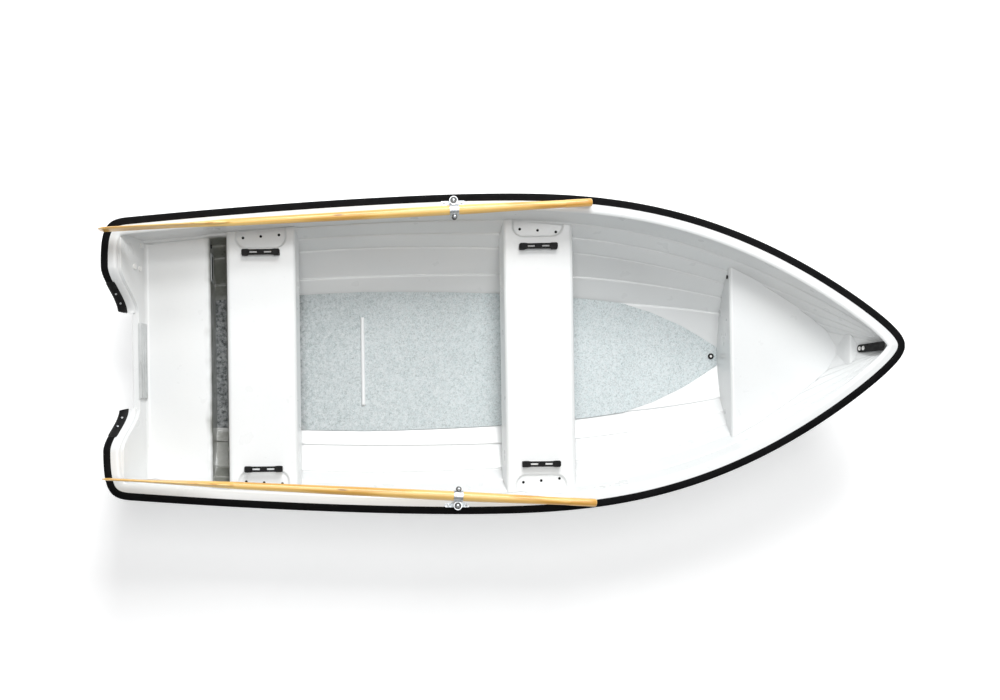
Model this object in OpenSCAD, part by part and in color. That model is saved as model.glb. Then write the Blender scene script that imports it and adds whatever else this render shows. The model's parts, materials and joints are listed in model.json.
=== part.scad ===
/* [Overall] */
// length over the rubbing rail
boat_l = 3650; // [3000:10:4500]
// beam over the rubbing rail
boat_w = 1480; // [1200:10:1800]
// gunwale height amidships above the ground
sheer_z = 505; // [420:5:620]
// extra gunwale height at the bow
bow_rise = 135; // [60:5:200]
// extra gunwale height at the stern
stern_rise = 20; // [0:5:60]
// widest station, distance aft of mid length
widest_back = 100; // [0:10:300]
// narrowing of each side at the quarters
stern_taper = 85; // [40:5:140]

/* [Hull] */
// hull laminate thickness
wall = 9; // [5:1:14]
// height of a clinker step
land = 7; // [3:1:10]
// keel line height above the ground
keel_h = 22; // [10:1:40]
// start of the forefoot rise, distance ahead of mid length
forefoot = 300; // [0:10:700]
// overhang of the rail beyond the hull side
overhang = 58; // [45:1:70]
// rake of the transom
rake = 22; // [8:1:28]
// transom thickness, measured level
transom_t = 30; // [20:1:50]
// drop of the outboard notch below the quarters
notch_drop = 140; // [60:5:180]
// half width of the outboard notch
notch_half = 225; // [160:5:300]
// half width where the notch ramp starts
ramp_half = 430; // [330:5:480]

/* [Gunwale] */
// visible width of the rubbing rail
rail_w = 28; // [18:1:36]
// depth of the rubbing rail
rail_h = 34; // [24:1:50]
// distance from rail edge to the inner flange edge
flange_in = 80; // [70:1:100]
// flange thickness
flange_t = 10; // [6:1:14]
// half width where a rail end cap starts
cap_half = 355; // [300:5:400]

/* [Seats] */
// sole height above the ground
sole_z = 95; // [70:5:140]
// stern seat height
stern_seat_z = 315; // [250:5:380]
// stern seat depth from the stern end to its front face
stern_seat_l = 485; // [380:5:620]
// thwart top height
thwart_z = 345; // [280:5:400]
// thwart width fore and aft
thwart_w = 326; // [220:2:400]
// thwart box depth
thwart_h = 95; // [40:5:140]
// rear thwart centre, distance aft of mid length
rear_back = 1097; // [900:5:1200]
// mid thwart centre, distance ahead of mid length
mid_fwd = 210; // [100:5:400]
// bow seat height
bow_seat_z = 372; // [300:5:430]
// bow seat face, distance ahead of mid length
bow_seat_fwd = 1100; // [950:5:1250]
// foot rib, distance aft of mid length
rib_back = 624; // [500:5:750]
// foot rib length
rib_l = 430; // [200:5:500]

/* [Oars] */
// oarlock, distance aft of mid length
lock_back = 197; // [100:1:400]
// oarlock pin, distance inboard of the rail edge
pin_in = 42; // [40:1:46]
// ball height above the flange
lock_h = 66; // [60:1:90]
// oar length outboard of the pin
oar_out = 1618; // [1200:1:1700]
// oar length inboard of the pin
oar_in = 634; // [500:1:700]
// loom radius at the clamp
loom_r = 22; // [18:0.5:25]
// grip radius
grip_r = 18; // [14:0.5:20]
// half width of the blade
blade_half = 56; // [45:1:65]
// blade length
blade_l = 610; // [450:5:700]
// rest yaw of the port oar
port_yaw = 2.6; // [0:0.1:4]
// rest yaw of the starboard oar
star_yaw = 3.6; // [0:0.1:4]
// rest slope of the oars, grip down
oar_slope = 1.9; // [1:0.1:2.2]
// ball radius
ball_r = 12; // [9:0.5:14]
// wall of the collar round the ball
collar_t = 3.5; // [2.5:0.5:5]
// running clearance of ball and collar
run = 0.05; // [0.02:0.01:0.1]

/* [Fittings] */
// grab handle length
handle_l = 180; // [120:2:220]
// grab handle height
handle_h = 34; // [24:1:45]
// mid thwart handles, distance from the centre line
mid_handle_y = 512; // [400:2:560]
// rear thwart port handle, distance from the centre line
rear_port_y = 504; // [400:2:540]
// rear thwart starboard handle, distance from the centre line
rear_star_y = 518; // [400:2:540]
// motor pad width
pad_w = 356; // [250:2:420]
// motor pad thickness
pad_t = 12; // [6:1:20]
// width of the end pockets of the thwarts
pocket_w = 240; // [150:5:260]
// reach of the end pockets in from the rail edge
pocket_in = 175; // [130:5:200]
// depth of the end pockets
pocket_d = 9; // [4:1:15]
// hatch plate width
hatch_w = 136; // [100:2:200]
// bow strap width
strap_w = 42; // [30:1:60]

/* [Hidden] */
$fn = 48;

// clearance of pieces with flat faces, and bond line of pieces that follow the curved hull
gap = 0.3;
bond = 1.5;
// step left at each knuckle of a piece that fits inside the planks
fit_land = 1;
x_tip = boat_l / 2;
x_end = -boat_l / 2;
x_wide = -widest_back;
x_quarter = x_end + 135;
half_w = boat_w / 2;
bow_p = 2.65;
bow_q = 1.13;
x_sharp = x_tip + 126;
nose = bow_law(x_tip);
b_full = half_w / sqrt(1 - nose * nose);
eps_tip = 0.5;
// strakes: breadth and height fractions of the five knuckles, aft and at the stem
aft_b = [0.40, 0.62, 0.818, 0.895, 0.963];
bow_b = [0.46, 0.56, 0.66, 0.78, 0.89];
aft_h = [0.06, 0.205, 0.334, 0.471, 0.63];
bow_h = [0.20, 0.31, 0.45, 0.60, 0.77];
land_a = [15, 25, 38, 55, 70];
last = 2 * len(aft_b) + 1;
ring_n = 2 * last + 1;
x_shell = x_end + overhang + 2 + transom_t;
z_quarter = rim_z(x_end);

function sq(v) = v * v;
function clamp01(v) = max(0, min(1, v));
function ease(v) = let (u = clamp01(v)) u * u * (3 - 2 * u);
function mix(a, b, t) = a + (b - a) * t;
function unit(v) = v / norm(v);

// plan curve of the rail edge and its outward normal
function bow_law(x) = pow(max(0, 1 - pow((x - x_wide) / (x_sharp - x_wide), bow_p)), bow_q);
function plan_y(x) = x >= x_wide
  ? b_full * sqrt(max(0, sq(bow_law(x)) - sq(nose)))
  : half_w - stern_taper * pow((x_wide - x) / (x_wide - x_quarter), 1.6);
function plan_n(x) = x >= x_wide
  ? unit([-b_full * bow_law(x) * (bow_law(x + 1) - bow_law(x - 1)) / 2, plan_y(x) / b_full])
  : unit([(plan_y(x - 1) - plan_y(x + 1)) / 2, 1]);
function inset(x, d) = let (p = [x, plan_y(x)] - d * plan_n(x)) [p.x, max(2, p.y)];
function rim_z(x) = sheer_z + (x > x_wide
  ? bow_rise * sq((x - x_wide) / (x_tip - x_wide))
  : stern_rise * sq(min(1, (x_wide - x) / (x_wide - x_shell))));

// keel line, section blend and rake of a station
function keel_z(x) = keel_h + 590 * pow(max(0, x - forefoot) / (x_tip - 25 - forefoot), 4);
function keel_slope(x) = (keel_z(x + 1) - keel_z(x - 1)) / 2;
function blend(x) = pow(clamp01((x + 617) / (x_tip + 617)), 1.16);
function lean(x) = x < -600 ? sq((x + 600) / (x_shell + 600)) : 0;

// half section from sheer to keel at rail station x, inset d, laminate offset t, knuckle step s
function half_ring(x, d, t, s = land) =
  let (p = inset(x, d))
  let (w = blend(p.x))
  let (zt = rim_z(x) - flange_t - bond)
  let (zk = keel_z(p.x))
  let (fade = min(1, p.y / 150))
  let (lift = t * sqrt(1 + sq(keel_slope(p.x))))
  let (raw = concat(
    [[p.y, zt]],
    [for (j = [len(aft_b) - 1:-1:0])
      let (y = p.y * mix(aft_b[j], bow_b[j], w))
      let (h = mix(aft_h[j], bow_h[j], w))
      let (z = mix(zk, zt, h) + lift * (1 - h))
      each [[y + s * fade * sin(land_a[j]), z - s * fade * cos(land_a[j])], [y, z]]],
    [[0, zk + lift]]))
  [for (q = raw) [p.x + tan(rake) * (zt - q[1]) * lean(x), q[0], q[1]]];
function ring(x, d, t, s = land) =
  let (h = half_ring(x, d, t, s))
  concat(h, [for (j = [last - 1:-1:0]) [h[j].x, -h[j].y, h[j].z]]);
function quad(a, b, c, e) = [[a, b, c], [a, c, e]];
function diag(a, b, c, e) = [[a, b, e], [b, c, e]];

// stations along the hull, closer together at the bow
steps = 30;
xs = [for (i = [0:steps]) x_shell + (x_tip - eps_tip - x_shell) * sin(90 * i / steps)];

// side faces of a stack of rings of m points, s apart, starting at k; the diagonals mirror about the keel
function skin(n, m, s, k) = [for (i = [0:n - 1], j = [0:m - 2])
  let (a = k + i * s + j)
  each j < last ? quad(a, a + 1, a + s + 1, a + s) : diag(a, a + 1, a + s + 1, a + s)];
function flip(faces) = [for (f = faces) [f[0], f[2], f[1]]];
// end face of one ring of m points starting at k, facing the stern
function cap(m, k) = concat(
  [for (j = [0:last - 2]) each quad(k + j, k + m - 1 - j, k + m - 2 - j, k + j + 1)],
  [[k + last - 1, k + last + 1, k + last]]);

// closed volume through rings, closed level at the sheer
module loft(rings) {
  n = len(rings) - 1;
  m = ring_n;
  faces = concat(
    skin(n, m, m, 0),
    [for (i = [0:n - 1]) each quad(i * m, (i + 1) * m, (i + 1) * m + m - 1, i * m + m - 1)],
    cap(m, 0),
    flip(cap(m, n * m)));
  polyhedron(points = [for (r = rings) each r], faces = faces, convexity = 6);
}
// volume inside the hull between two stations
module inside(i0, i1) {
  loft([for (i = [i0:i1]) ring(xs[i], overhang + wall + bond, wall + bond, fit_land)]);
}
function behind(x) = max([for (i = [0:steps]) if (xs[i] < x - 130 || i == 0) i]);
function ahead(x) = min([for (i = [0:steps]) if (xs[i] > x + 30 || i == steps) i]);

module hull_shell() {
  m = ring_n;
  s = 2 * m;
  k = steps * s;
  pts = [for (x = xs) each concat(ring(x, overhang, 0), ring(x, overhang + wall, wall))];
  faces = concat(
    skin(steps, m, s, 0),
    flip(skin(steps, m, s, m)),
    [for (i = [0:steps - 1])
      each concat(
        quad(i * s, (i + 1) * s, (i + 1) * s + m, i * s + m),
        quad(i * s + s - 1, (i + 1) * s + s - 1, (i + 1) * s + m - 1, i * s + m - 1))],
    [for (j = [0:m - 2]) each quad(j, m + j, m + j + 1, j + 1)],
    flip(cap(m, k)),
    cap(m, k + m),
    quad(k + m, k, k + m - 1, k + s - 1));
  color("white") polyhedron(points = pts, faces = faces, convexity = 10);
}

// rim path of the gunwale: bow to notch on the port side
corner_in = plan_y(x_quarter) - 440;
function drop(y) = notch_drop * ease((ramp_half - y) / (ramp_half - notch_half));
function bez(a, b, c, e, t) =
  pow(1 - t, 3) * a + 3 * sq(1 - t) * t * b + 3 * (1 - t) * sq(t) * c + pow(t, 3) * e;
function corner(t) =
  let (a = [x_quarter, plan_y(x_quarter), rim_z(x_quarter)])
  bez(a, a + [-100, -7, 0], [x_end, a.y - 35, z_quarter], [x_end, a.y - corner_in, z_quarter], t);
side_pts = concat(
  [for (i = [steps:-1:1]) if (xs[i] > x_quarter + 20) [xs[i], plan_y(xs[i]), rim_z(xs[i])]],
  [[x_quarter, plan_y(x_quarter), rim_z(x_quarter)]]);
side_n = len(side_pts) - 1;
ramp_y = [ramp_half, 405, 380, cap_half, 330, 305, 280, 255, notch_half];
half_rim = concat(side_pts,
  [for (i = [1:6]) corner(i / 6)],
  [for (y = ramp_y) [x_end + drop(y) * tan(rake), y, z_quarter - drop(y)]]);
rim_last = len(half_rim) - 1;
cap_i = side_n + 6 + 4;
function turn(v) = unit([v.y, -v.x]);
function rim_n(i) = i < side_n ? plan_n(half_rim[i].x)
  : i > side_n + 5 ? [-1, 0]
  : turn([half_rim[i - 1].x - half_rim[i + 1].x, half_rim[i - 1].y - half_rim[i + 1].y]) * -1;
function rim_at(i) = i >= 0
  ? [half_rim[i], rim_n(i)]
  : [[half_rim[-i].x, -half_rim[-i].y, half_rim[-i].z], [rim_n(-i).x, -rim_n(-i).y]];

// sweep of a section [inset, rise] along the rim from index a to b, scaled about the inner edge
module rim_sweep(sec, a, b, taper = 1) {
  n = len(sec);
  steps = b - a;
  pts = [for (i = [0:steps])
    let (r = rim_at(a + i))
    let (nrm = r[1])
    let (f = mix(1, taper, i / steps))
    each [for (q = sec)
      let (d = rail_w - (rail_w - q[0]) * f)
      [r[0].x - nrm.x * d, r[0].y - nrm.y * d, r[0].z + q[1] * f]]];
  faces = concat(
    [for (i = [0:steps - 1], j = [0:n - 1])
      each quad(i * n + j, (i + 1) * n + j, (i + 1) * n + (j + 1) % n, i * n + (j + 1) % n)],
    [[for (j = [0:n - 1]) j]],
    [[for (j = [n - 1:-1:0]) steps * n + j]]);
  polyhedron(points = pts, faces = faces, convexity = 10);
}
rail_sec = [[rail_w, 4], [8, 4], [0, -5], [0, 9 - rail_h], [8, -rail_h], [rail_w, -rail_h]];
flange_sec = [[rail_w, 0], [rail_w, -rail_h], [rail_w + 8, -rail_h], [rail_w + 8, -flange_t],
  [flange_in, -flange_t], [flange_in, 0]];

module gunwale_flange() {
  color("white") rim_sweep(flange_sec, -rim_last, rim_last);
}
module rub_rail() {
  color("black") rim_sweep(rail_sec, -cap_i, cap_i);
}
cap_sec = [for (q = rail_sec) [q[0] - (q[0] < rail_w ? 3 : 0), q[1] + (q[1] > 0 ? 2 : 0)]];
module rail_end_caps() {
  color("black") {
    rim_sweep(cap_sec, cap_i, rim_last, 0.5);
    mirror([0, 1, 0]) rim_sweep(cap_sec, cap_i, rim_last, 0.5);
  }
}

// raked plate of thickness t: outline points [y, z], front face on the shell end plane moved by x0
function plate_x(z) = inset(x_shell, overhang).x + tan(rake) * (rim_z(x_shell) - flange_t - bond - z);
module raked_plate(outline, x0, t) {
  n = len(outline);
  pts = concat(
    [for (q = outline) [plate_x(q[1]) + x0, q[0], q[1]]],
    [for (q = outline) [plate_x(q[1]) + x0 - t, q[0], q[1]]]);
  faces = concat(
    [[for (j = [0:n - 1]) j]],
    [[for (j = [n - 1:-1:0]) n + j]],
    [for (j = [0:n - 1]) each quad((j + 1) % n, j, n + j, n + (j + 1) % n)]);
  polyhedron(points = pts, faces = faces, convexity = 8);
}
notch_z = z_quarter - notch_drop;
module transom() {
  front = ring(x_shell, overhang, 0);
  back = [for (p = front) [p.x - transom_t, p.y, p.z]];
  top = z_quarter + 20;
  function ramp_top(y) = z_quarter - drop(y) - flange_t - bond;
  port_top = [for (i = [len(ramp_y) - 1:-1:0]) [ramp_y[i], ramp_top(ramp_y[i])]];
  star_top = [for (y = ramp_y) [-y, ramp_top(y)]];
  color("white") difference() {
    loft([back, front]);
    translate([x_end, 0, 0]) rotate([90, 0, 90]) linear_extrude(height = 400) polygon(concat(
      [[ramp_half, top], [-ramp_half, top]],
      star_top,
      [[-notch_half, notch_z], [notch_half, notch_z]],
      port_top));
  }
}
module motor_pad() {
  z0 = stern_seat_z + 4;
  z1 = notch_z - 4;
  outline = [[pad_w / 2, z1], [pad_w / 2, z0], [-pad_w / 2, z0], [-pad_w / 2, z1]];
  color("dimgray") raked_plate(outline, pad_t + gap, pad_t);
}

module below(z, x0, x1) {
  translate([x0, -half_w, -10]) cube([x1 - x0, boat_w, z + 10]);
}
module sole() {
  color("slategray") intersection() {
    inside(behind(x_end + stern_seat_l), ahead(bow_seat_fwd));
    below(sole_z, x_end + stern_seat_l, bow_seat_fwd);
  }
}
module stern_seat() {
  color("white") intersection() {
    inside(0, ahead(x_end + stern_seat_l));
    below(stern_seat_z, x_end, x_end + stern_seat_l - gap);
  }
}
module bow_seat() {
  color("white") intersection() {
    inside(behind(bow_seat_fwd), steps - 1);
    below(bow_seat_z, bow_seat_fwd + gap, x_tip);
  }
}
module foot_rib() {
  color("slategray") translate([-rib_back, 0, sole_z]) hull() {
    for (s = [-1, 1]) translate([0, s * (rib_l / 2 - 9), 0]) cylinder(r1 = 10, r2 = 7, h = 12);
  }
}

// box thwart: rounded top edges along the length of the profile, ends fitted to the hull sides
module thwart(xc) {
  r = 14;
  flare = 12;
  half = thwart_w / 2;
  edge = [for (a = [0:15:90]) [half - r + r * sin(a), r * cos(a) - r]];
  profile = concat(
    edge,
    [[half + flare, -thwart_h], [-half - flare, -thwart_h]],
    [for (i = [len(edge) - 1:-1:0]) [-edge[i].x, edge[i].y]]);
  difference() {
    intersection() {
      translate([xc, half_w, thwart_z]) rotate([90, 0, 0]) linear_extrude(height = boat_w) polygon(profile);
      inside(behind(xc - half), ahead(xc + half));
    }
    for (s = [-1, 1]) translate([xc, s * (plan_y(xc) - pocket_in), thwart_z - pocket_d])
      mirror([0, s < 0 ? 1 : 0, 0]) linear_extrude(height = 40) polygon([
        [-pocket_w / 2, 200], [-pocket_w / 2, 34], [-pocket_w / 2 + 34, 0],
        [pocket_w / 2 - 34, 0], [pocket_w / 2, 34], [pocket_w / 2, 200]]);
  }
}
module rear_thwart() {
  color("white") thwart(-rear_back);
}
module mid_thwart() {
  color("white") thwart(mid_fwd);
}

module grab_handle() {
  foot = 34;
  w = 30;
  for (s = [-1, 1]) translate([s * (handle_l - foot) / 2, 0, handle_h / 2])
    cube([foot, w, handle_h], center = true);
  translate([0, 0, handle_h - 6]) cube([handle_l - 2, w - 6, 11], center = true);
}
module grab_handles() {
  color("black") translate([0, 0, thwart_z]) {
    translate([mid_fwd, mid_handle_y, 0]) grab_handle();
    translate([mid_fwd, -mid_handle_y, 0]) grab_handle();
    translate([-rear_back, rear_port_y, 0]) grab_handle();
    translate([-rear_back, -rear_star_y, 0]) grab_handle();
  }
}

// small fittings
module on_transom(y, z) {
  translate([plate_x(z) + gap, y, z]) rotate([0, 90 - rake, 0]) children();
}
module stern_plugs() {
  plug_r = 13;
  color("white") {
    on_transom(440, 405) cylinder(r = plug_r, h = 6);
    on_transom(436, 362) cylinder(r = plug_r, h = 6);
    on_transom(545, 345) cylinder(r = plug_r, h = 6);
  }
}
seat_face = x_end + stern_seat_l;
module hatch_plate() {
  hatch_h = 84;
  color("black") translate([seat_face, 446, stern_seat_z - 62]) difference() {
    rotate([0, 90, 0]) linear_extrude(height = 4) square([hatch_h, hatch_w], center = true);
    translate([3, 0, 0]) cube([4, hatch_w - 16, hatch_h - 16], center = true);
  }
}
module vent_discs() {
  vent_r = 9;
  color("black") {
    translate([seat_face, 545, stern_seat_z - 32]) rotate([0, 90, 0]) cylinder(r = vent_r, h = 5);
    translate([bow_seat_fwd, 355, bow_seat_z - 32]) rotate([0, -90, 0]) cylinder(r = vent_r, h = 5);
  }
}
module drain_ring() {
  ring_r = 14;
  color("black") translate([bow_seat_fwd - 30, 0, sole_z]) difference() {
    cylinder(r = ring_r, h = 5);
    translate([0, 0, 2]) cylinder(r = ring_r - 5, h = 5);
  }
}
boss_z = 455;
boss_x = x_tip - 222;
module bow_boss() {
  color("white") intersection() {
    inside(behind(boss_x), steps - 1);
    below(boss_z, boss_x, x_tip - 135);
  }
}
// strap from the boss up to the inner edge of the flange at the stem
module bow_strap() {
  foot = [x_tip - 153, 0, boss_z + 1];
  head = [x_tip - flange_in - 6, 0, rim_z(x_tip) - 12];
  run_l = norm(head - foot);
  lean_a = atan2(head.z - foot.z, head.x - foot.x);
  color("black") translate(foot) rotate([0, -lean_a, 0]) difference() {
    linear_extrude(height = 8) union() {
      translate([18, 0]) circle(r = 18);
      polygon([[18, -18], [run_l - 6, -strap_w / 2], [run_l - 6, strap_w / 2], [18, 18]]);
    }
    for (x = [16, 42]) translate([x, 0, -1]) cylinder(r = 7, h = 12);
  }
}

// bottom strips follow the lowest strake
function garboard(x, y) =
  let (h = half_ring(x, overhang, 0))
  let (k = h[last])
  let (g = h[last - 1])
  let (f = y / g.y)
  [mix(k.x, g.x, f), y, mix(k.z, g.z, f)];
module strip(rings) {
  n = len(rings[0]);
  k = (len(rings) - 1) * n;
  faces = concat(
    [for (i = [0:len(rings) - 2], j = [0:n - 1])
      each quad(i * n + j, i * n + (j + 1) % n, (i + 1) * n + (j + 1) % n, (i + 1) * n + j)],
    [for (j = [1:n - 2]) [0, j + 1, j]],
    [for (j = [1:n - 2]) [k, k + j, k + j + 1]]);
  polyhedron(points = [for (r = rings) each r], faces = faces, convexity = 4);
}
module keel_strip() {
  half = 14;
  end_x = x_tip - 420;
  color("white") strip([for (x = xs) if (x < end_x)
    let (c = garboard(x, 0))
    let (g = garboard(x, half))
    let (up = mix(keel_h, 7, ease((x - forefoot) / (end_x - forefoot))))
    [[c.x, half, g.z - bond], [c.x, half - 5, c.z - up], [c.x, 5 - half, c.z - up],
      [c.x, -half, g.z - bond], [c.x, 0, c.z - bond]]]);
}
module bilge_runner() {
  runner_y = 200;
  half = 14;
  strip([for (x = xs) if (x > x_shell + 100 && x < forefoot + 250)
    let (a = garboard(x, runner_y + half))
    let (b = garboard(x, runner_y - half))
    [[a.x, a.y, a.z - bond], [a.x, a.y - 5, 0], [a.x, b.y + 5, 0], [a.x, b.y, b.z - bond]]]);
}
module bilge_runners() {
  color("white") {
    bilge_runner();
    mirror([0, 1, 0]) bilge_runner();
  }
}

// oarlock: screwed base with a ball pin, rocking collar on the ball, clamp eye round the collar
lock_x = -lock_back;
lock_y = plan_y(lock_x) - pin_in;
lock_z = rim_z(lock_x) + lock_h;
collar_r = ball_r + collar_t;
collar_h = 8;
eye_r = collar_r + 4;
band_t = 3.5;
oar_y = eye_r + loom_r + band_t - 1;
module at_lock(side) {
  translate([lock_x, side * lock_y, lock_z]) mirror([0, side < 0 ? 1 : 0, 0]) children();
}
module oarlock_base() {
  pin_r = 5.5;
  translate([0, 0, -lock_h + gap]) {
    linear_extrude(height = 3) hull() {
      for (s = [-1, 1]) translate([s * 43, 0]) circle(r = 13);
    }
    cylinder(r1 = 13, r2 = 8, h = 24);
    cylinder(r = pin_r, h = lock_h - ball_r / 2);
    for (s = [-1, 1]) translate([s * 41, 0, 3]) cylinder(r = 6, h = 3);
  }
  sphere(r = ball_r);
}
module oarlock_bases() {
  color("silver") {
    at_lock(1) oarlock_base();
    at_lock(-1) oarlock_base();
  }
}
module collar() {
  difference() {
    union() {
      translate([0, 0, -collar_h]) cylinder(r = collar_r, h = 2 * collar_h);
      translate([0, 0, -collar_h]) cylinder(r = collar_r + 2, h = 2);
    }
    sphere(r = ball_r + run);
  }
}
module port_collar() {
  color("dimgray") at_lock(1) collar();
}
module star_collar() {
  color("dimgray") at_lock(-1) collar();
}

// oar lying in the clamp, grip forward; local x runs towards the grip
module on_oar(yaw) {
  rotate([0, 0, yaw]) translate([0, -oar_y, 0]) rotate([0, oar_slope, 0]) children();
}
module oar() {
  root = blade_l - oar_out;
  rotate([0, 90, 0]) rotate_extrude() polygon([
    [0, -oar_out + 150], [6, -oar_out + 150], [17, root], [loom_r, -140], [loom_r, 90],
    [grip_r - 1, oar_in - 140], [grip_r, oar_in - 120], [grip_r, oar_in - 8], [grip_r - 6, oar_in],
    [0, oar_in]]);
  rotate([90, 0, 0]) translate([0, 0, -6]) linear_extrude(height = 12) polygon([
    [-oar_out, 34], [-oar_out + 8, 48], [-oar_out + 26, blade_half], [-oar_out + 360, blade_half - 6],
    [root - 60, 26], [root + 20, 12], [root + 20, -12], [root - 60, -26],
    [-oar_out + 360, 6 - blade_half], [-oar_out + 26, -blade_half], [-oar_out + 8, -48], [-oar_out, -34]]);
}
module port_oar() {
  color("burlywood") at_lock(1) on_oar(port_yaw) oar();
}
module star_oar() {
  color("burlywood") at_lock(-1) on_oar(star_yaw) oar();
}
module clamp(yaw) {
  eye_h = 12;
  difference() {
    union() {
      translate([0, 0, -collar_h + 2 + gap]) cylinder(r = eye_r, h = eye_h);
      on_oar(yaw) rotate([0, 90, 0]) cylinder(r = loom_r + band_t, h = 42, center = true);
      rotate([0, 0, yaw]) translate([-9, -oar_y + loom_r - 4, -collar_h + 3 + gap])
        cube([18, 9, eye_h - 2]);
      on_oar(yaw) translate([-9, -loom_r - band_t - 13, -8]) cube([18, 16, 16]);
      on_oar(yaw) translate([0, -loom_r - band_t - 7, -13]) cylinder(r = 5, h = 26);
    }
    translate([0, 0, -20]) cylinder(r = collar_r + run, h = 40);
    on_oar(yaw) rotate([0, 90, 0]) cylinder(r = loom_r, h = 90, center = true);
  }
}
module port_clamp() {
  color("silver") at_lock(1) clamp(port_yaw);
}
module star_clamp() {
  color("silver") at_lock(-1) clamp(star_yaw);
}

hull_shell();
transom();
gunwale_flange();
rub_rail();
rail_end_caps();
sole();
keel_strip();
bilge_runners();
stern_seat();
rear_thwart();
mid_thwart();
bow_seat();
grab_handles();
foot_rib();
motor_pad();
stern_plugs();
hatch_plate();
vent_discs();
drain_ring();
bow_boss();
bow_strap();
oarlock_bases();
port_collar();
star_collar();
port_oar();
star_oar();
port_clamp();
star_clamp();
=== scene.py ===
import json
import math

import bmesh
import bpy
import numpy as np
from mathutils import Matrix, Vector


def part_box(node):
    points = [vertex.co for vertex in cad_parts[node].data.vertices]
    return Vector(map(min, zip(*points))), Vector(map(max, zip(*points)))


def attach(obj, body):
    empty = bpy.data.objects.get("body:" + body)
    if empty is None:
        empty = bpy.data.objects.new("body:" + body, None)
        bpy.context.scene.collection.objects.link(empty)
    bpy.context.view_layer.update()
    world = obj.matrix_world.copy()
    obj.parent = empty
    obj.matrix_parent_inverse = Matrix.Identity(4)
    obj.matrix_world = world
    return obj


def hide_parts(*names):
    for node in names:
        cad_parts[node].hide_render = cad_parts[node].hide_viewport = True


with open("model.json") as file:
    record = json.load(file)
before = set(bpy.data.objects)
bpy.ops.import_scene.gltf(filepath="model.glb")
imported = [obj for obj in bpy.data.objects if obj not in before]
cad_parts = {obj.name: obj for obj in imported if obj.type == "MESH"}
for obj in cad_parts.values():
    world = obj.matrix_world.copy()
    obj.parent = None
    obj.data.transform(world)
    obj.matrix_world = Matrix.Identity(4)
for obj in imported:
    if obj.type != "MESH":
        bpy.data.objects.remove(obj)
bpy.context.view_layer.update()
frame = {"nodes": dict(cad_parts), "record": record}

scene = bpy.context.scene
nodes = frame["nodes"]

# ---------------------------------------------------------------- dimensions, millimetres
MM = 0.001


def box_mm(node):
    """Lowest and highest corner of a CAD node in millimetres."""
    lo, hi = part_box(node)
    return lo / MM, hi / MM


x_end = box_mm("rub_rail")[0].x
x_tip = -x_end
half_w = 740
sheer_z = 505
bow_rise = 135
stern_rise = 20
x_wide = -100
stern_taper = 85
wall = 9
land = 7
bond = 1.5
keel_h = 22
forefoot = 300
overhang = 58
slope_t = math.tan(math.radians(22))
transom_t = 30
notch_drop = 140
notch_half = 225
ramp_half = 430
rail_w = 28
rail_h = 34
flange_in = 80
flange_t = 10
cap_half = 355

x_quarter = x_end + 135
x_shell = x_end + overhang + 2 + transom_t
x_sharp = x_tip + 126
aft_b = [0.40, 0.62, 0.818, 0.895, 0.963]
bow_b = [0.46, 0.56, 0.66, 0.78, 0.89]
aft_h = [0.06, 0.205, 0.334, 0.471, 0.63]
bow_h = [0.20, 0.31, 0.45, 0.60, 0.77]
land_a = [15, 25, 38, 55, 70]


# ---------------------------------------------------------------- hull shape
def mix(a, b, t):
    return a + (b - a) * t


def ease(t):
    t = min(1, max(0, t))
    return t * t * (3 - 2 * t)


def bow_law(x):
    return max(0, 1 - abs((x - x_wide) / (x_sharp - x_wide)) ** 2.65) ** 1.13


nose = bow_law(x_tip)
b_full = half_w / math.sqrt(1 - nose * nose)


def plan_y(x):
    """Half breadth of the rail at station x."""
    if x >= x_wide:
        return b_full * math.sqrt(max(0, bow_law(x) ** 2 - nose * nose))
    return half_w - stern_taper * ((x_wide - x) / (x_wide - x_quarter)) ** 1.6


def plan_n(x):
    """Outward normal of the rail in plan."""
    if x >= x_wide:
        n = Vector((-b_full * bow_law(x) * (bow_law(x + 1) - bow_law(x - 1)) / 2, plan_y(x) / b_full))
    else:
        n = Vector(((plan_y(x - 1) - plan_y(x + 1)) / 2, 1))
    return n.normalized()


def rim_z(x):
    """Height of the rim at station x."""
    if x > x_wide:
        return sheer_z + bow_rise * ((x - x_wide) / (x_tip - x_wide)) ** 2
    return sheer_z + stern_rise * min(1, (x_wide - x) / (x_wide - x_shell)) ** 2


def keel_z(x):
    return keel_h + 590 * (max(0, x - forefoot) / (x_tip - 25 - forefoot)) ** 4


def half_ring(x, d, t):
    """Half section from sheer to keel: inset d from the rail edge, moved in by laminate t."""
    n = plan_n(x)
    px = x - n.x * d
    py = max(2, plan_y(x) - n.y * d)
    w = min(1, max(0, (px + 617) / (x_tip + 617))) ** 1.16
    top = rim_z(x) - flange_t - bond
    low = keel_z(px)
    fade = min(1, py / 150)
    lift = t * math.sqrt(1 + ((keel_z(px + 1) - keel_z(px - 1)) / 2) ** 2)
    raw = [(py, top)]
    for j in range(4, -1, -1):
        y = py * mix(aft_b[j], bow_b[j], w)
        h = mix(aft_h[j], bow_h[j], w)
        z = mix(low, top, h) + lift * (1 - h)
        a = math.radians(land_a[j])
        raw.append((y + land * fade * math.sin(a), z - land * fade * math.cos(a)))
        raw.append((y, z))
    raw.append((0, low + lift))
    rake = ((x + 600) / (x_shell + 600)) ** 2 if x < -600 else 0
    return [Vector((px + slope_t * (top - z) * rake, y, z)) for y, z in raw]


def ring(x, d, t):
    half = half_ring(x, d, t)
    return half + [Vector((p.x, -p.y, p.z)) for p in half[-2::-1]]


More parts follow.
